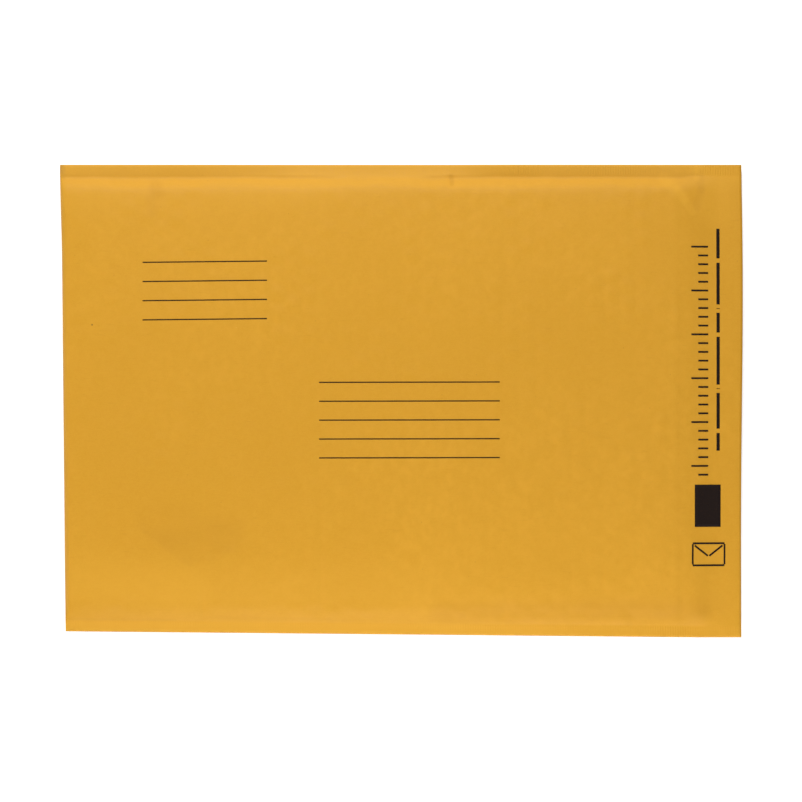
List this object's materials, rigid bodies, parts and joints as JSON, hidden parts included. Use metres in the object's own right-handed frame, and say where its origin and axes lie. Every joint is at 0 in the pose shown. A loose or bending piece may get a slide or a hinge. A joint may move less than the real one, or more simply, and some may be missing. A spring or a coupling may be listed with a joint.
{
  "type": "padded_mailer_envelope",
  "caption": "An empty padded kraft mailer with a bubble film lining, crimped side seams and an open self-seal flap, lying flat on its back.",
  "frame": {"origin": "on the table, below the middle of the mailer's outline", "axes": "+X from the folded end to the flap's free edge, +Y to the top edge as the front is read, +Z out of the printed front"},
  "size_m": [0.4085, 0.283, 0.0139],
  "materials": {
    "kraft_paper": "matt golden brown kraft paper",
    "bubble_film": "clear bubble film",
    "adhesive": "tacky clear adhesive",
    "liner_paper": "silky white release paper",
    "printing_ink": "matt black ink"
  },
  "bodies": {
    "root": {"kraft_cover": "kraft_paper", "bubble_lining": "bubble_film", "adhesive_strip": "adhesive", "release_liner": "liner_paper", "return_rule_1": "printing_ink", "return_rule_2": "printing_ink", "return_rule_3": "printing_ink", "return_rule_4": "printing_ink", "address_rule_1": "printing_ink", "address_rule_2": "printing_ink", "address_rule_3": "printing_ink", "address_rule_4": "printing_ink", "address_rule_5": "printing_ink"}
  },
  "joints": []
}
